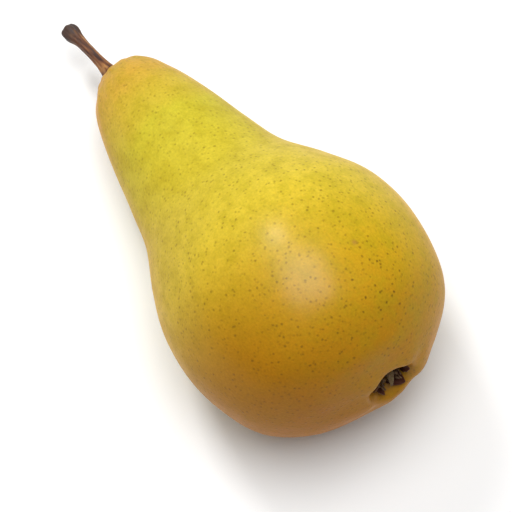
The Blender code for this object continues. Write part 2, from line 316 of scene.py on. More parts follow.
class PearEyeSettings(PropertyGroup):
    """Colours of the dried flower parts."""

    sepal_inside: colour_setting("Sepal Inside", "Dark maroon of the inner face", "#49200e")
    sepal_outside: colour_setting("Sepal Outside", "Red-brown of the outer face", "#5b3418")
    # Pale grey-green patches on one blade's outer face: painted highlight where that blade catches
    # the light
    sepal_highlight: colour_setting("Sepal Felt", "Grey-green felt left on one blade", "#66593a")
    sepal_edge: colour_setting("Sepal Edge", "Pale dry edge", "#7d6342")
    thread: colour_setting("Thread", "Brown of the dried stamens and styles", "#341a0c")


class PearStageSettings(PropertyGroup):
    """The floor, the light and the camera."""

    floor: colour_setting("Floor", "Plain white sweep", "#fafafa")
    azimuth: FloatProperty(
        name="Azimuth", description="Direction the camera looks from; 0 is from -Y",
        default=radians(53.3), subtype="ANGLE", unit="ROTATION")
    elevation: FloatProperty(
        name="Elevation", description="Height of the camera above level",
        default=radians(78.4), subtype="ANGLE", unit="ROTATION")
    distance: length_setting("Distance", "From the camera to the pear", 0.56)
    lens: FloatProperty(
        name="Lens", description="Focal length", default=156.2, min=10.0, unit="CAMERA")
    key_power: FloatProperty(
        name="Key Power", description="Power of the big overhead softbox",
        default=11.0, min=0.0, unit="POWER")
    accent_power: FloatProperty(
        name="Accent Power", description="Power of the small softbox beyond the neck",
        default=3.9, min=0.0, unit="POWER")
    fill: FloatProperty(
        name="Fill", description="Strength of the even white surroundings", default=0.2, min=0.0)


# ------------------------------------------------------------------- shared helpers


def ease(value, start, end):
    """0 before start, 1 after end, smooth between."""
    part = min(max((value - start) / (end - start), 0.0), 1.0)
    return part * part * (3.0 - 2.0 * part)


def bump(value, middle, spread):
    """1 at the middle, falling smoothly to 0 on both sides."""
    return exp(-(((value - middle) / spread) ** 2))


def smooth_outline(stations, steps):
    """Points on a smooth curve through the stations, from the first to the last."""
    points = [Vector(station) * MM for station in stations]
    first = 2.0 * points[0] - points[1]
    last = 2.0 * points[-1] - points[-2]
    padded = [first, *points, last]
    curve = []
    for before, here, there, after in zip(padded, padded[1:], padded[2:], padded[3:]):
        for step in range(steps):
            part = step / steps
            bend = (2.0 * before - 5.0 * here + 4.0 * there - after) * part**2
            swing = (3.0 * (here - there) + after - before) * part**3
            curve.append(here + 0.5 * ((there - before) * part + bend + swing))
    curve.append(points[-1])
    return curve


def turned_body(outline, sides):
    """A closed body turned round Z from an outline that starts and ends on the axis."""
    builder = bmesh.new()
    points = [builder.verts.new((max(spot.x, 0.0), 0.0, spot.y)) for spot in outline]
    edges = [builder.edges.new(pair) for pair in zip(points, points[1:])]
    bmesh.ops.spin(
        builder, geom=points + edges, cent=(0.0, 0.0, 0.0), axis=(0.0, 0.0, 1.0),
        angle=tau, steps=sides, use_merge=True)
    bmesh.ops.remove_doubles(builder, verts=builder.verts, dist=WELD)
    bmesh.ops.recalc_face_normals(builder, faces=builder.faces)
    builder.normal_update()
    return builder


def add_piece(name, builder, material, nodes):
    """Turn a finished bmesh into a smooth piece that stands for CAD nodes."""
    mesh = bpy.data.meshes.new(name)
    builder.to_mesh(mesh)
    builder.free()
    mesh.shade_smooth()
    mesh.materials.append(material)
    piece = bpy.data.objects.new(name, mesh)
    bpy.context.scene.collection.objects.link(piece)
    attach(piece, BODY)
    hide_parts(*nodes)
    return piece


def add_node(tree, kind, inputs=None, stops=(), **fields):
    """Add a shader node: its own fields, its inputs as values or sockets, its ramp stops."""
    made = tree.nodes.new(kind)
    for field, value in fields.items():
        setattr(made, field, value)
    for socket, value in (inputs or {}).items():
        if isinstance(value, bpy.types.NodeSocket):
            tree.links.new(value, made.inputs[socket])
        else:
            made.inputs[socket].default_value = value
    for number, (position, colour) in enumerate(stops):
        if number >= len(made.color_ramp.elements):
            made.color_ramp.elements.new(position)
        made.color_ramp.elements[number].position = position
        made.color_ramp.elements[number].color = opaque(colour)
    return made


def new_material(name):
    """An empty material with its shader, and the point in the fruit's own axes."""
    material = bpy.data.materials.new(name)
    material.use_nodes = True
    tree = material.node_tree
    shader = tree.nodes["Principled BSDF"]
    place = laid_down()
    where = add_node(tree, "ShaderNodeTexCoord")
    own = add_node(
        tree, "ShaderNodeMapping",
        {"Vector": where.outputs["Object"], "Location": place.to_translation(),
         "Rotation": place.to_euler()},
        vector_type="TEXTURE")
    return material, tree, shader, own.outputs["Vector"]


# ------------------------------------------------------------------------ the shape


def grown_shape(point):
    """Move a point of the turned body to where the uneven, real fruit has it."""
    angle = atan2(point.y, point.x)
    radius = point.xy.length
    height = point.z

    lobes = cos(LOBES * angle + LOBE_PHASE)
    near_eye = exp(-(height / LOBE_REACH) ** 4)
    swell = 1.0 + LOBE_SWELL * lobes * near_eye + OVAL_SWELL * cos(2.0 * (angle - OVAL_TURN))
    lying_side = (0.5 * (1.0 - cos(angle))) ** 2
    at_waist = bump(height, WAIST_HEIGHT, WAIST_SPREAD)
    fullness = 1.0 + WAIST_FULLNESS * lying_side * at_waist / max(radius, WELD)
    at_crest = bump(radius, CREST_RADIUS, CREST_WIDTH) * near_eye
    rim = RIM_DIP * (0.5 * (1.0 + cos(angle))) ** 3 - LOBE_RISE * lobes
    out_from_stem = min(radius / SHOULDER_RADIUS, 1.0)
    higher_side = 0.5 * (1.0 + out_from_stem * cos(angle - SHOULDER_TURN))
    at_shoulder = ease(height, SHOULDER_START, SHOULDER_END)

    drift = NECK_DRIFT * ease(height, NECK_DRIFT_START, NECK_DRIFT_END)
    drift += SEAT_SHIFT * at_shoulder * (1.0 - out_from_stem**2)
    shift = EYE_SHIFT * exp(-(radius / EYE_SHIFT_REACH) ** 4) * near_eye
    return Vector((
        point.x * swell * fullness,
        point.y * swell * fullness - drift + shift,
        height + rim * at_crest + SHOULDER_RISE * higher_side * at_shoulder,
    ))


def laid_down():
    """The place of the fruit's own axes in the world, found from the box of the CAD fruit.

    The resting spot cuts the lowest point off, so the top and the four sides are matched.
    """
    turn = Matrix.Rotation(-(0.5 * pi + NECK_DROOP), 4, "Y")
    spots = []
    for spot in smooth_outline(BODY_OUTLINE, CAD_STEPS):
        for side in range(CAD_SIDES):
            around = Matrix.Rotation(tau * side / CAD_SIDES, 3, "Z")
            spots.append(turn @ grown_shape(around @ Vector((spot.x, 0.0, spot.y))))
    low = Vector([min(spot[axis] for spot in spots) for axis in range(3)])
    high = Vector([max(spot[axis] for spot in spots) for axis in range(3)])
    move = 0.5 * (FRUIT_LOW + FRUIT_HIGH) - 0.5 * (low + high)
    move.z = FRUIT_HIGH.z - high.z
    return Matrix.Translation(move) @ turn


def eye_middle():
    """The middle of the eye, where the sepals stand, in the fruit's own axes."""
    return grown_shape(Vector((0.0, 0.0, EYE_HEIGHT)))


def stem_foot():
    """Where the stem starts in its seat, in the fruit's own axes."""
    return grown_shape(Vector((0.0, 0.0, SEAT_FLOOR * MM)))


def skin_relief(spot):
    """How far the skin stands out at a point of the fruit's own axes."""
    size, rise = BROAD_DENTS
    relief = rise * noise.noise(spot / size)
    size, rise = SMALL_DENTS
    relief += rise * noise.noise(spot / size)
    size, rise = DIMPLES
    relief += rise * noise.noise(spot / size)

    wander = FOLD_WANDER * noise.noise(spot / FOLD_WANDER_SIZE)
    from_eye = spot - eye_middle()
    angle = atan2(from_eye.y, from_eye.x)
    reach = bump(from_eye.xy.length, CREST_RADIUS, EYE_FOLD_REACH)
    reach *= exp(-(spot.z / LOBE_REACH) ** 4)
    relief += EYE_FOLD_RISE * reach * cos(EYE_FOLDS * angle + wander)

    from_stem = spot - stem_foot()
    angle = atan2(from_stem.y, from_stem.x)
    reach = bump(from_stem.length, SHOULDER_RADIUS, STEM_FOLD_REACH)
    return relief + STEM_FOLD_RISE * reach * cos(STEM_FOLDS * angle + 1.5 * wander)


def soft_floor(height):
    """Keep a height above the floor, bending gently where it meets it."""
    return 0.5 * (height + sqrt(height * height + FLAT_SOFTNESS * FLAT_SOFTNESS))


def make_fruit(settings):
    """The whole fruit: turned, grown uneven, given its skin relief and laid on its flat spot."""
    place = laid_down()
    outline = smooth_outline(EYE_OUTLINE + BODY_OUTLINE + SEAT_OUTLINE, FRUIT_STEPS)
    builder = turned_body(outline, FRUIT_SIDES)
    for vert in builder.verts:
        vert.co = grown_shape(vert.co)
    builder.normal_update()
    for vert in builder.verts:
        vert.co += vert.normal * skin_relief(vert.co)
    for vert in builder.verts:
        vert.co = place @ vert.co
        vert.co.z = soft_floor(vert.co.z)
    return add_piece("pear_fruit", builder, pear_skin(settings), ["fruit"])


def stem_shape(point):
    """Bend and rib a point of the turned stem; its foot is at the origin."""
    angle = atan2(point.y, point.x)
    along = min(max(point.z / STEM_LENGTH, 0.0), 1.0)
    ridges = cos(STEM_RIDGES * (angle + STEM_RIDGE_TWIST * along))
    around = Vector((point.x, point.y, 0.0)) / STEM_FIBRE_WIDTH
    fibres = noise.noise(around + Vector((0.0, 0.0, point.z / STEM_FIBRE_LENGTH)))
    lumps = noise.noise(point / STEM_LUMP_SIZE)
    swell = 1.0 + STEM_RIDGE_RISE * ridges + STEM_FIBRES * fibres + STEM_LUMPS * lumps
    start = STEM_LEAN - 0.5 * STEM_BEND
    lean = start + STEM_BEND * along
    radius_of_bend = STEM_LENGTH / STEM_BEND
    middle = Vector((
        0.0,
        radius_of_bend * (cos(lean) - cos(start)),
        radius_of_bend * (sin(lean) - sin(start)),
    ))
    beyond = point.z - along * STEM_LENGTH
    across = Matrix.Rotation(lean, 3, "X") @ Vector((point.x * swell, point.y * swell, beyond))
    return middle + across


def make_stem(settings):
    """The woody stem, ribbed along its length and clubbed where it left the twig."""
    place = laid_down() @ Matrix.Translation(stem_foot())
    builder = turned_body(smooth_outline(STEM_OUTLINE, STEM_STEPS), STEM_SIDES)
    for vert in builder.verts:
        vert.co = place @ stem_shape(vert.co)
    return add_piece("woody_stem", builder, stem_bark(settings), ["stem"])


def sepal_width(part):
    """Half width of a blade along its length: a full foot, then a drawn-out point."""
    return (0.78 + 0.9 * part) * (1.0 - part) ** 0.85 + 0.05


def shape_sepal(builder, number):
    """Roll, curl and twist a flat grid into one dried blade, in the fruit's own axes."""
    lean, curl, slant, twist = (radians(value) for value in SEPAL_POSES[number][:4])
    length, width = (value * MM for value in SEPAL_POSES[number][4:])
    around = SEPAL_TURN + tau * number / SEPAL_COUNT
    outward = Vector((cos(around), sin(around), 0.0))
    slanted = Matrix.Rotation(slant, 3, outward)
    sideways = slanted @ Vector((-sin(around), cos(around), 0.0))
    ahead = slanted @ Vector((0.0, 0.0, -1.0))
    foot = eye_middle() + outward * SEPAL_FOOT_RADIUS
    foot.z = SEPAL_FOOT_HEIGHT
    seed = Vector((0.0, 0.0, 10.0 * number))
    for vert in builder.verts:
        across = vert.co.x
        part = 0.5 * (vert.co.y + 1.0)
        tilt = lean + 0.5 * curl * part
        middle = foot + (outward * sin(tilt) + ahead * cos(tilt)) * length * part
        tilt = lean + curl * part
        facing = outward * cos(tilt) - ahead * sin(tilt)
        turn = Matrix.Rotation(twist * part, 3, outward * sin(tilt) + ahead * cos(tilt))
        ragged = 1.0 + SEPAL_RAGGED * noise.noise(seed + Vector((across, 7.0 * part, 0.0)))
        half = 0.5 * width * sepal_width(part) * ragged
        rolled = -SEPAL_CUP * across * across * half
        spot = middle + turn @ (sideways * across * half + facing * rolled)
        crumple = noise.noise(spot / SEPAL_CRUMPLE_SIZE + seed)
        tipward = SEPAL_FOOT_CRUMPLE + (1.0 - SEPAL_FOOT_CRUMPLE) * part
        vert.co = spot + facing * SEPAL_CRUMPLE * crumple * tipward


def make_sepal(number, material):
    """One dried blade of the calyx, with its two faces told apart for its colours."""
    builder = bmesh.new()
    bmesh.ops.create_grid(builder, x_segments=SEPAL_ACROSS, y_segments=SEPAL_ALONG, size=1.0)
    outer = builder.verts.layers.float.new("outer_face")
    edge = builder.verts.layers.float.new("edge")
    for vert in builder.verts:
        part = 0.5 * (vert.co.y + 1.0)
        vert[edge] = max(abs(vert.co.x), part) ** 6
    shape_sepal(builder, number)
    builder.normal_update()
    around = SEPAL_TURN + tau * number / SEPAL_COUNT
    outward = Vector((cos(around), sin(around), 0.0))
    middle_normal = sum((face.normal for face in builder.faces), Vector())
    if middle_normal.dot(outward) < 0.0:
        bmesh.ops.reverse_faces(builder, faces=builder.faces)
        builder.normal_update()
    sheet = list(builder.verts)
    bmesh.ops.solidify(builder, geom=builder.faces[:], thickness=SEPAL_THICKNESS)
    for vert in sheet:
        vert[outer] = 1.0
    place = laid_down()
    bmesh.ops.transform(builder, matrix=place, verts=builder.verts)
    bmesh.ops.recalc_face_normals(builder, faces=builder.faces)
    name = f"dried_sepal_{number + 1}"
    piece = add_piece(name, builder, material, [f"sepal_{number + 1}"])
    rounding = piece.modifiers.new("rounding", "SUBSURF")
    rounding.levels = 1
    rounding.render_levels = 1
    return piece


def add_thread(builder, foot, along, length, radius, tip, seed):
    """One dried, wandering thread with a shrivelled tip, closed at both ends."""
    aim = along.to_track_quat("Z", "Y").to_matrix()
    outline = [Vector((radius * size, length * part)) for part, size in thread_outline(tip)]
    thread = turned_body(outline, THREAD_SIDES)
    mesh = bpy.data.meshes.new("thread")
    for vert in thread.verts:
        part = vert.co.z / length
        spot = Vector((0.0, 0.0, 3.0 * part)) + seed
        wander = Vector((noise.noise(spot), noise.noise(spot + Vector((9.0, 0.0, 0.0))), 0.0))
        vert.co = foot + aim @ (vert.co + wander * THREAD_WANDER * part)
    thread.to_mesh(mesh)
    thread.free()
    builder.from_mesh(mesh)
    bpy.data.meshes.remove(mesh)


def thread_outline(tip):
    """(part of the length, part of the radius) along a thread with a thicker tip."""
    outline = [(0.0, 0.0)]
    for step in range(THREAD_STEPS + 1):
        part = step / THREAD_STEPS
        swell = (tip + THREAD_TAPER - 1.0) * bump(part, THREAD_TIP_PLACE, THREAD_TIP_SPREAD)
        outline.append((part, 1.0 - THREAD_TAPER * part + swell))
    return outline + [(THREAD_END, 0.0)]


def add_collar(builder, middle):
    """The low ring that the filaments stand on."""
    place = Matrix.Translation((STAMEN_RADIUS, 0.0, 0.0)) @ Matrix.Rotation(0.5 * pi, 4, "X")
    section = bmesh.ops.create_circle(
        builder, segments=COLLAR_SIDES, radius=COLLAR_RADIUS, matrix=place)["verts"]
    bmesh.ops.spin(
        builder, geom=section + builder.edges[:], cent=(0.0, 0.0, 0.0), axis=(0.0, 0.0, 1.0),
        angle=tau, steps=4 * STAMEN_COUNT, use_merge=True)
    bmesh.ops.remove_doubles(builder, verts=builder.verts, dist=WELD)
    bmesh.ops.recalc_face_normals(builder, faces=builder.faces)
    bmesh.ops.translate(builder, verts=builder.verts, vec=(middle.x, middle.y, STAMEN_FOOT))


def make_stamens(material):
    """The ring of dried filaments on its collar, inside the eye."""
    builder = bmesh.new()
    middle = eye_middle()
    add_collar(builder, middle)
    for number in range(STAMEN_COUNT):
        around = tau * number / STAMEN_COUNT
        seed = Vector((3.7 * number, 0.0, 5.0))
        outward = Vector((cos(around), sin(around), 0.0))
        sideways = Vector((-sin(around), cos(around), 0.0))
        foot = Vector((middle.x, middle.y, STAMEN_FOOT)) + outward * STAMEN_RADIUS
        lean = STAMEN_SPREAD * noise.noise(seed) - STAMEN_CLOSING
        swing = STAMEN_SPREAD * noise.noise(seed.yzx)
        along = (outward * lean + sideways * swing - Vector((0.0, 0.0, 1.0))).normalized()
        length = STAMEN_LENGTH * (1.0 + STAMEN_SPREAD * noise.noise(2.0 * seed))
        add_thread(builder, foot, along, length, 0.5 * STAMEN_THICKNESS, STAMEN_TIP, seed)
    bmesh.ops.transform(builder, matrix=laid_down(), verts=builder.verts)
    return add_piece("stamen_ring", builder, material, ["stamens"])


def make_styles(material):
    """The dried styles, rising together from the middle of the eye."""
    builder = bmesh.new()
    middle = eye_middle()
    for number in range(STYLE_COUNT):
        around = tau * number / STYLE_COUNT
        seed = Vector((2.3 * number, 8.0, 1.0))
        outward = Vector((cos(around), sin(around), 0.0))
        foot = Vector((middle.x, middle.y, STYLE_FOOT)) + outward * STYLE_RADIUS
        along = (outward * STYLE_SPREAD - Vector((0.0, 0.0, 1.0))).normalized()
        length = STYLE_LENGTH * (1.0 + STAMEN_SPREAD * noise.noise(seed))
        add_thread(builder, foot, along, length, 0.5 * STYLE_THICKNESS, STYLE_TIP, seed)
    bmesh.ops.transform(builder, matrix=laid_down(), verts=builder.verts)
    return add_piece("style_tuft", builder, material, ["styles"])


# ------------------------------------------------------------------------- finishes


def mix_in(tree, under, over, amount, **fields):
    """Lay one colour over another by an amount; either may be a value or a socket."""
    made = add_node(
        tree, "ShaderNodeMix", {MIX_FACTOR: amount, MIX_A: under, MIX_B: over},
        data_type="RGBA", **fields)
    return made.outputs[MIX_RESULT]


def ripe_colour(tree, settings, height, wander):
    """Ripening along the fruit: amber flower end, golden belly, yellow waist, greener neck."""
    level = add_node(
        tree, "ShaderNodeMath", {0: wander, 1: RIPENING_WANDER, 2: height},
        operation="MULTIPLY_ADD").outputs["Value"]
    colours = (
        settings.flower_end, settings.belly, settings.waist, settings.neck, settings.stem_end)
    ramp = add_node(
        tree, "ShaderNodeValToRGB", {"Fac": level}, stops=zip(RIPENING_PLACES, colours))
    return ramp.outputs["Color"]


def blush_and_shade_amount(tree, own, along, wander):
    """How much warm brown lies on one flank, most of all near the flower end: partly the riper
    skin's own colour, partly painted shade on the lower -Y side.
    """
    add = partial(add_node, tree)
    towards_blush_and_shade = add(
        "ShaderNodeVectorMath", {0: own, 1: BLUSH_AND_SHADE_SIDE}, operation="DOT_PRODUCT").outputs["Value"]
    ragged = add(
        "ShaderNodeMath", {0: wander, 1: BLUSH_AND_SHADE_RAGGED, 2: towards_blush_and_shade},
        operation="MULTIPLY_ADD").outputs["Value"]
    flank = add(
        "ShaderNodeMapRange",
        {"Value": ragged, "From Min": BLUSH_AND_SHADE_START, "From Max": BLUSH_AND_SHADE_END, "To Max": BLUSH_AND_SHADE_MOST})
    fading = add(
        "ShaderNodeMapRange",
        {"Value": along, "From Min": BLUSH_AND_SHADE_FADE_START, "From Max": BLUSH_AND_SHADE_FADE_END,
         "To Min": 1.0, "To Max": BLUSH_AND_SHADE_LEFT}, interpolation_type="SMOOTHSTEP")
    return add(
        "ShaderNodeMath", {0: flank.outputs["Result"], 1: fading.outputs["Result"]},
        operation="MULTIPLY").outputs["Value"]


def plain_skin(tree, settings, own, along, height, mottle, grain):
    """The skin between its pores: ripening, olive mottling, the warm brown flank that is partly
    painted shade, and the grain.
    """
    add = partial(add_node, tree)
    wander = add(
        "ShaderNodeTexNoise",
        {"Vector": own, "Scale": 1.0 / RIPENING_SIZE, "Detail": 3.0}).outputs["Fac"]
    colour = ripe_colour(tree, settings, height, wander)
    patches = add(
        "ShaderNodeMapRange",
        {"Value": mottle, "From Min": 0.4, "From Max": 0.66, "To Max": MOTTLE_MOST})
    colour = mix_in(tree, colour, opaque(settings.mottle), patches.outputs["Result"])
    # the warm brown flank, partly painted shade
    colour = mix_in(tree, colour, opaque(settings.blush_and_shade), blush_and_shade_amount(tree, own, along, wander))
    shade = add(
        "ShaderNodeMapRange",
        {"Value": grain, "From Min": 0.3, "From Max": 0.7, "To Min": GRAIN_DARKEST,
         "To Max": GRAIN_PALEST})
    return mix_in(tree, colour, shade.outputs["Result"], 1.0, blend_type="MULTIPLY")


def pore_dots(tree, settings, own):
    """Pores, one in each cell of the spacing: their shape, and how dark each of them is."""
    add = partial(add_node, tree)
    stir = add(
        "ShaderNodeTexNoise", {"Vector": own, "Scale": 1.0 / PORE_STIR_SIZE, "Detail": 2.0})
    stirred = add(
        "ShaderNodeVectorMath", {0: stir.outputs["Color"], 1: (PORE_STIR,) * 3, 2: own},
        operation="MULTIPLY_ADD").outputs["Vector"]
    cells = add(
        "ShaderNodeTexVoronoi", {"Vector": stirred, "Scale": 1.0 / settings.pore_spacing})
    radius = settings.pore_radius / settings.pore_spacing
    dot = add(
        "ShaderNodeMapRange",
        {"Value": cells.outputs["Distance"], "From Min": PORE_CORE * radius,
         "From Max": radius, "To Min": 1.0, "To Max": 0.0},
        interpolation_type="SMOOTHSTEP").outputs["Result"]
    chance = add(
        "ShaderNodeSeparateColor", {"Color": cells.outputs["Color"]}).outputs["Red"]
    strength = add(
        "ShaderNodeMapRange", {"Value": chance, "To Min": PORE_FAINTEST, "To Max": 1.0})
    dark_dot = add(
        "ShaderNodeMath", {0: dot, 1: strength.outputs["Result"]}, operation="MULTIPLY")
    return dot, dark_dot.outputs["Value"]


def pore_darkness(tree, own, height):
    """How dark the pores are here: more near the flower end and where the skin was rubbed."""
    add = partial(add_node, tree)
    lower = add(
        "ShaderNodeMapRange",
        {"Value": height, "From Min": PORES_LOW, "From Max": PORES_HIGH,
         "To Min": PORES_DARK, "To Max": PORES_FAINT})
    away = add("ShaderNodeVectorMath", {0: own, 1: RUBBED_PLACE}, operation="DISTANCE")
    rubbed = add(
        "ShaderNodeMapRange",
        {"Value": away.outputs["Value"], "From Min": RUBBED_INNER, "From Max": RUBBED_OUTER,
         "To Min": RUBBED_MORE, "To Max": 0.0}, interpolation_type="SMOOTHSTEP")
    return add(
        "ShaderNodeMath", {0: lower.outputs["Result"], 1: rubbed.outputs["Result"]},
        operation="ADD").outputs["Value"]


def skin_spots(settings):
    """Middle, inner and outer radius, colour and strength of each spot that isn't plain skin; the
    one deep in the eye is partly painted shade.
    """
    around_stem = (stem_foot(), 3.0 * MM, 15.0 * MM, settings.russet, 0.5)
    around_eye = (eye_middle(), 7.0 * MM, 15.0 * MM, settings.russet, 0.3)
    healed_scratch = (SCRATCH_PLACE, 0.2 * MM, 1.7 * MM, settings.russet, 0.8)
    # nearly black deep in the eye's basin: partly its dried brown, partly painted shade of the
    # recess
    eye_basin_shade = (eye_middle() + EYE_SHADE_INWARDS, 5.4 * MM, 8.4 * MM, settings.eye, 0.92)
    return around_stem, around_eye, healed_scratch, eye_basin_shade


def lay_spot(tree, colour, own, mottle, spot):
    """Colour one spot of the skin, fading out over a ragged edge."""
    middle, inner, outer, shade, most = spot
    away = add_node(tree, "ShaderNodeVectorMath", {0: own, 1: middle}, operation="DISTANCE")
    ragged = add_node(
        tree, "ShaderNodeMath", {0: mottle, 1: 0.5 * (outer - inner), 2: away.outputs["Value"]},
        operation="MULTIPLY_ADD")
    amount = add_node(
        tree, "ShaderNodeMapRange",
        {"Value": ragged.outputs["Value"], "From Min": inner, "From Max": outer,
         "To Min": most, "To Max": 0.0}, interpolation_type="SMOOTHSTEP")
    return mix_in(tree, colour, opaque(shade), amount.outputs["Result"])


def wax_over(tree, shader, mottle, raised):
    """The skin's wax: a soft broad shine that fades where the skin turns away."""
    add = partial(add_node, tree)
    aslant = add("ShaderNodeLayerWeight", {"Blend": 0.3}).outputs["Facing"]
    wax = add("ShaderNodeMapRange", {"Value": aslant, "To Min": WAX_MOST, "To Max": 0.0})
    roughness = add(
        "ShaderNodeMapRange",
        {"Value": mottle, "From Min": 0.3, "From Max": 0.7, "To Min": SKIN_SMOOTHEST,
         "To Max": SKIN_ROUGHEST})
    relief = add(
        "ShaderNodeBump", {"Height": raised, "Distance": SKIN_BUMP, "Strength": 1.0})
    tree.links.new(wax.outputs["Result"], shader.inputs["Coat Weight"])
    tree.links.new(roughness.outputs["Result"], shader.inputs["Roughness"])
    tree.links.new(relief.outputs["Normal"], shader.inputs["Normal"])
    shader.inputs["Coat IOR"].default_value = 2.3
    shader.inputs["Coat Roughness"].default_value = 0.31
    shader.inputs["Specular IOR Level"].default_value = 0.03


def glow_through(shader, settings):
    """The flesh glows a little through the skin, and its thin edges look warmer."""
    shader.inputs["Subsurface Weight"].default_value = 0.1
    shader.inputs["Subsurface Radius"].default_value = (1.0, 0.5, 0.12)
    shader.inputs["Subsurface Scale"].default_value = 2.0 * MM
    shader.inputs["Sheen Weight"].default_value = 0.22
    shader.inputs["Sheen Roughness"].default_value = 0.4
    shader.inputs["Sheen Tint"].default_value = opaque(settings.glow)


def pear_skin(settings):
    """Waxy skin of a ripe pear, washed and dry.

    It is yellow with olive mottling and one warm brown flank, partly painted shade, and its
    corky pores, a millimetre or two apart, darken towards the flower end.
    """
    material, tree, shader, own = new_material("waxy_pear_skin")
    add = partial(add_node, tree)
    along = add("ShaderNodeSeparateXYZ", {"Vector": own}).outputs["Z"]
    height = add(
        "ShaderNodeMapRange", {"Value": along, "From Max": FRUIT_LENGTH}).outputs["Result"]
    mottle = add(
        "ShaderNodeTexNoise",
        {"Vector": own, "Scale": 1.0 / MOTTLE_SIZE, "Detail": 5.0,
         "Roughness": 0.62}).outputs["Fac"]
    grain = add(
        "ShaderNodeTexNoise",
        {"Vector": own, "Scale": 1.0 / GRAIN_SIZE, "Detail": 3.0}).outputs["Fac"]

    colour = plain_skin(tree, settings, own, along, height, mottle, grain)
    dot, dark_dot = pore_dots(tree, settings, own)
    dark_dot = add(
        "ShaderNodeMath", {0: dark_dot, 1: pore_darkness(tree, own, height)},
        operation="MULTIPLY").outputs["Value"]
    colour = mix_in(tree, colour, opaque(settings.pore), dark_dot)
    for spot in skin_spots(settings):
        colour = lay_spot(tree, colour, own, mottle, spot)
    tree.links.new(colour, shader.inputs["Base Color"])

    raised = add(
        "ShaderNodeMath", {0: dot, 1: PORE_RISE, 2: grain}, operation="MULTIPLY_ADD")
    wax_over(tree, shader, mottle, raised.outputs["Value"])
    glow_through(shader, settings)
    return material


def bark_colour(tree, settings, fibres, from_foot):
    """Tan ribs and red-brown grooves, partly painted highlight and painted shade, darker at the
    foot where shade is painted in the seat, and dull on the clubbed end.
    """
    # the fibres that raise the bump also colour it: partly the bark's grain, partly painted shade
    # in the low grooves and painted highlight on the raised ridges
    ramp = add_node(
        tree, "ShaderNodeValToRGB", {"Fac": fibres},
        stops=((0.36, settings.groove_and_shade), (0.5, settings.bark), (0.64, settings.ridge)))
    club = add_node(
        tree, "ShaderNodeMapRange",
        {"Value": from_foot, "From Min": CLUB_START, "From Max": CLUB_END, "To Max": 0.9},
        interpolation_type="SMOOTHSTEP")
    colour = mix_in(tree, ramp.outputs["Color"], opaque(settings.club), club.outputs["Result"])
    # painted shade at the stem's foot, where it stands in the fruit's seat
    socket = add_node(
        tree, "ShaderNodeMapRange",
        {"Value": from_foot, "From Min": SEAT_SHADE_DARKEST, "From Max": SEAT_SHADE_END, "To Min": 0.7,
         "To Max": 0.0}, interpolation_type="SMOOTHSTEP")
    return mix_in(tree, colour, opaque(settings.groove_and_shade), socket.outputs["Result"])


def stem_bark(settings):
    """Thin woody bark, dried on: its fibres run along the stem, and it hardly shines."""
    material, tree, shader, own = new_material("dried_stem_bark")
    add = partial(add_node, tree)
    upright = add(
        "ShaderNodeMapping",
        {"Vector": own, "Location": stem_foot(), "Rotation": (STEM_LEAN, 0.0, 0.0)},
        vector_type="TEXTURE").outputs["Vector"]
    along = add("ShaderNodeSeparateXYZ", {"Vector": upright}).outputs["Z"]
    drawn = add(
        "ShaderNodeMapping", {"Vector": upright, "Scale": (1.0, 1.0, FIBRE_STRETCH)},
        vector_type="POINT").outputs["Vector"]
    fibres = add(
        "ShaderNodeTexNoise",
        {"Vector": drawn, "Scale": 1.0 / FIBRE_SIZE, "Detail": 5.0,
         "Roughness": 0.6}).outputs["Fac"]
    blotch = add(
        "ShaderNodeTexNoise",
        {"Vector": upright, "Scale": 1.0 / BARK_BLOTCH_SIZE, "Detail": 4.0}).outputs["Fac"]
    from_foot = add(
        "ShaderNodeMath", {0: blotch, 1: BARK_BLOTCH_SIZE, 2: along},
        operation="MULTIPLY_ADD").outputs["Value"]
    roughness = add(
        "ShaderNodeMapRange", {"Value": fibres, "To Min": 0.5, "To Max": 0.75})
    relief = add(
        "ShaderNodeBump", {"Height": fibres, "Distance": FIBRE_BUMP, "Strength": 1.0})
    colour = bark_colour(tree, settings, fibres, from_foot)
    tree.links.new(colour, shader.inputs["Base Color"])
    tree.links.new(roughness.outputs["Result"], shader.inputs["Roughness"])
    tree.links.new(relief.outputs["Normal"], shader.inputs["Normal"])
    return material


def dried_sepal(settings, name, outside):
    """Leathery dried leaf: dark maroon inside, the given colour in patches outside, a pale thin
    edge; on one blade the outer patches are painted highlight.
    """
    material, tree, shader, own = new_material(name)
    add = partial(add_node, tree)
    outer = add("ShaderNodeAttribute", attribute_name="outer_face").outputs["Fac"]
    edge = add("ShaderNodeAttribute", attribute_name="edge").outputs["Fac"]
    blotch = add(
        "ShaderNodeTexNoise",
        {"Vector": own, "Scale": 1.0 / SEPAL_BLOTCH_SIZE, "Detail": 5.0,
         "Roughness": 0.65}).outputs["Fac"]
    # patches on the outer face; on one blade their colour is painted highlight
    patched = add(
        "ShaderNodeMath", {0: outer, 1: blotch}, operation="MULTIPLY").outputs["Value"]
    felt = add(
        "ShaderNodeMapRange",
        {"Value": patched, "From Min": 0.25, "From Max": 0.6}).outputs["Result"]
    colour = mix_in(tree, opaque(settings.sepal_inside), opaque(outside), felt)
    pale = add("ShaderNodeMath", {0: edge, 1: patched}, operation="MULTIPLY").outputs["Value"]
    colour = mix_in(tree, colour, opaque(settings.sepal_edge), pale)
    relief = add(
        "ShaderNodeBump", {"Height": blotch, "Distance": SEPAL_BUMP, "Strength": 1.0})
    tree.links.new(colour, shader.inputs["Base Color"])
    tree.links.new(relief.outputs["Normal"], shader.inputs["Normal"])
    shader.inputs["Roughness"].default_value = 0.7
    shader.inputs["Specular IOR Level"].default_value = 0.25
    return material


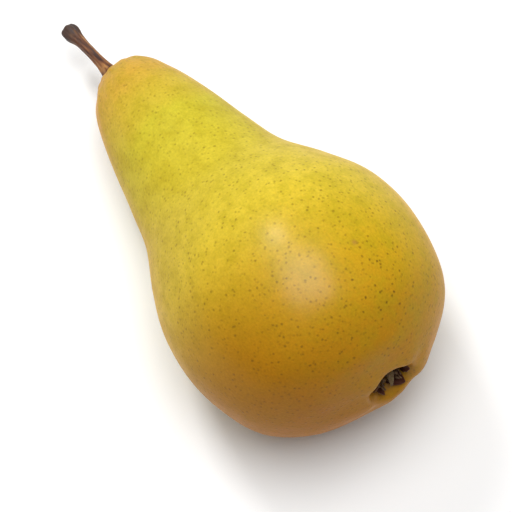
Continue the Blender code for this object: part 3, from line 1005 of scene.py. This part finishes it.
def dried_thread(settings):
    """Dried filament: brittle dark brown, a little lighter in patches."""
    material, tree, shader, own = new_material("dried_filament")
    blotch = add_node(
        tree, "ShaderNodeTexNoise", {"Vector": own, "Scale": 1.0 / THREAD_BLOTCH_SIZE})
    colour = mix_in(
        tree, opaque(settings.thread), opaque(settings.sepal_edge), blotch.outputs["Fac"])
    tree.links.new(colour, shader.inputs["Base Color"])
    shader.inputs["Roughness"].default_value = 0.7
    return material


# ------------------------------------------------------------------------ the stage


def sweep_paint(settings):
    """Matt white paint, with the faintest unevenness of a painted board."""
    material = bpy.data.materials.new("white_sweep_paint")
    material.use_nodes = True
    tree = material.node_tree
    shader = tree.nodes["Principled BSDF"]
    where = add_node(tree, "ShaderNodeTexCoord")
    uneven = add_node(
        tree, "ShaderNodeTexNoise",
        {"Vector": where.outputs["Object"], "Scale": 1.0 / PAINT_BLOTCH_SIZE})
    tint = mix_in(tree, opaque(settings.floor), opaque(WHITE), uneven.outputs["Fac"])
    tree.links.new(tint, shader.inputs["Base Color"])
    shader.inputs["Roughness"].default_value = 0.9
    return material


def make_floor(settings):
    """A plain round floor, so wide that its rim is never seen."""
    builder = bmesh.new()
    bmesh.ops.create_circle(
        builder, cap_ends=True, radius=FLOOR_RADIUS, segments=FLOOR_SIDES)
    mesh = bpy.data.meshes.new("floor")
    builder.to_mesh(mesh)
    builder.free()
    mesh.materials.append(sweep_paint(settings))
    floor = bpy.data.objects.new("floor", mesh)
    bpy.context.scene.collection.objects.link(floor)


def towards(azimuth, elevation):
    """The direction from the pear to a point seen at an azimuth (0 is -Y) and elevation."""
    return Vector((
        sin(azimuth) * cos(elevation), -cos(azimuth) * cos(elevation), sin(elevation)))


def look_at(thing, place, target):
    """Stand a camera or a light at a place, facing the target, its top upwards."""
    thing.location = place
    thing.rotation_euler = (target - place).to_track_quat("-Z", "Y").to_euler()


def add_softbox(name, size, power, turn, elevation):
    """A square softbox, this far round and this high, that faces the pear."""
    light = bpy.data.lights.new(name, "AREA")
    light.shape = "SQUARE"
    light.size = size
    light.energy = power
    softbox = bpy.data.objects.new(name, light)
    bpy.context.scene.collection.objects.link(softbox)
    look_at(softbox, PEAR_MIDDLE + LIGHT_DISTANCE * towards(turn, elevation), PEAR_MIDDLE)


def light_stage(settings):
    """A big softbox overhead, a small one beyond the neck, and dim even surroundings."""
    scene = bpy.context.scene
    scene.view_settings.view_transform = "Standard"
    world = bpy.data.worlds.new("white_surroundings")
    scene.world = world
    world.use_nodes = True
    background = world.node_tree.nodes["Background"]
    background.inputs["Color"].default_value = opaque(WHITE)
    background.inputs["Strength"].default_value = settings.fill
    behind = settings.azimuth + pi
    add_softbox(
        "overhead_softbox", KEY_SIZE, settings.key_power, behind + KEY_TURN, KEY_ELEVATION)
    add_softbox(
        "accent_softbox", ACCENT_SIZE, settings.accent_power, behind + ACCENT_TURN,
        ACCENT_ELEVATION)


def add_camera(settings):
    """The camera, above the pear and a little to its flower end."""
    scene = bpy.context.scene
    lens = bpy.data.cameras.new("camera")
    lens.lens = settings.lens
    lens.clip_start = 0.01
    camera = bpy.data.objects.new("camera", lens)
    scene.collection.objects.link(camera)
    place = PEAR_MIDDLE + settings.distance * towards(settings.azimuth, settings.elevation)
    look_at(camera, place, PEAR_MIDDLE)
    scene.camera = camera


# -------------------------------------------------------------------- the operators


class PEAR_OT_set_stage(Operator):
    """Set the white sweep, the soft light and the camera"""

    bl_idname = "pear.set_stage"
    bl_label = "Set Stage"

    def execute(self, context):
        settings = context.scene.pear_stage
        make_floor(settings)
        light_stage(settings)
        add_camera(settings)
        return {"FINISHED"}


class PEAR_OT_grow_fruit(Operator):
    """Grow the fruit with its waxy, pored skin"""

    bl_idname = "pear.grow_fruit"
    bl_label = "Grow Fruit"

    def execute(self, context):
        make_fruit(context.scene.pear_skin)
        return {"FINISHED"}


class PEAR_OT_grow_stem(Operator):
    """Grow the ribbed woody stem"""

    bl_idname = "pear.grow_stem"
    bl_label = "Grow Stem"

    def execute(self, context):
        make_stem(context.scene.pear_stem)
        return {"FINISHED"}


class PEAR_OT_dry_sepals(Operator):
    """Curl the five dried sepals round the eye"""

    bl_idname = "pear.dry_sepals"
    bl_label = "Dry Sepals"

    def execute(self, context):
        settings = context.scene.pear_eye
        # the first blade's outer patches are painted highlight
        patched = dried_sepal(settings, "highlit_sepal_leaf", settings.sepal_highlight)
        bare = dried_sepal(settings, "dried_sepal_leaf", settings.sepal_outside)
        make_sepal(0, patched)
        for number in range(1, SEPAL_COUNT):
            make_sepal(number, bare)
        return {"FINISHED"}


class PEAR_OT_dry_threads(Operator):
    """Set the dried stamens and styles in the eye"""

    bl_idname = "pear.dry_threads"
    bl_label = "Dry Stamens and Styles"

    def execute(self, context):
        material = dried_thread(context.scene.pear_eye)
        make_stamens(material)
        make_styles(material)
        return {"FINISHED"}


class PEAR_PT_panel(Panel):
    """The pear's pieces and settings"""

    bl_idname = "PEAR_PT_panel"
    bl_label = "Ripe Pear"
    bl_space_type = "VIEW_3D"
    bl_region_type = "UI"
    bl_category = "Pear"

    def draw(self, context):
        layout = self.layout
        for operator in OPERATORS:
            layout.operator(operator.bl_idname)
        for owner in SETTINGS:
            box = layout.box()
            settings = getattr(context.scene, owner)
            for name in settings.bl_rna.properties.keys():
                if name not in {"rna_type", "name"}:
                    box.prop(settings, name)


OPERATORS = (
    PEAR_OT_set_stage, PEAR_OT_grow_fruit, PEAR_OT_grow_stem, PEAR_OT_dry_sepals,
    PEAR_OT_dry_threads,
)
SETTINGS = {
    "pear_skin": PearSkinSettings,
    "pear_stem": PearStemSettings,
    "pear_eye": PearEyeSettings,
    "pear_stage": PearStageSettings,
}
CLASSES = (*SETTINGS.values(), *OPERATORS, PEAR_PT_panel)


def register():
    for part in CLASSES:
        bpy.utils.register_class(part)
    for owner, settings in SETTINGS.items():
        setattr(bpy.types.Scene, owner, PointerProperty(type=settings))


def unregister():
    for owner in SETTINGS:
        delattr(bpy.types.Scene, owner)
    for part in reversed(CLASSES):
        bpy.utils.unregister_class(part)


def main():
    register()
    bpy.ops.pear.set_stage()
    bpy.ops.pear.grow_fruit()
    bpy.ops.pear.grow_stem()
    bpy.ops.pear.dry_sepals()
    bpy.ops.pear.dry_threads()


if __name__ == "__main__":
    main()
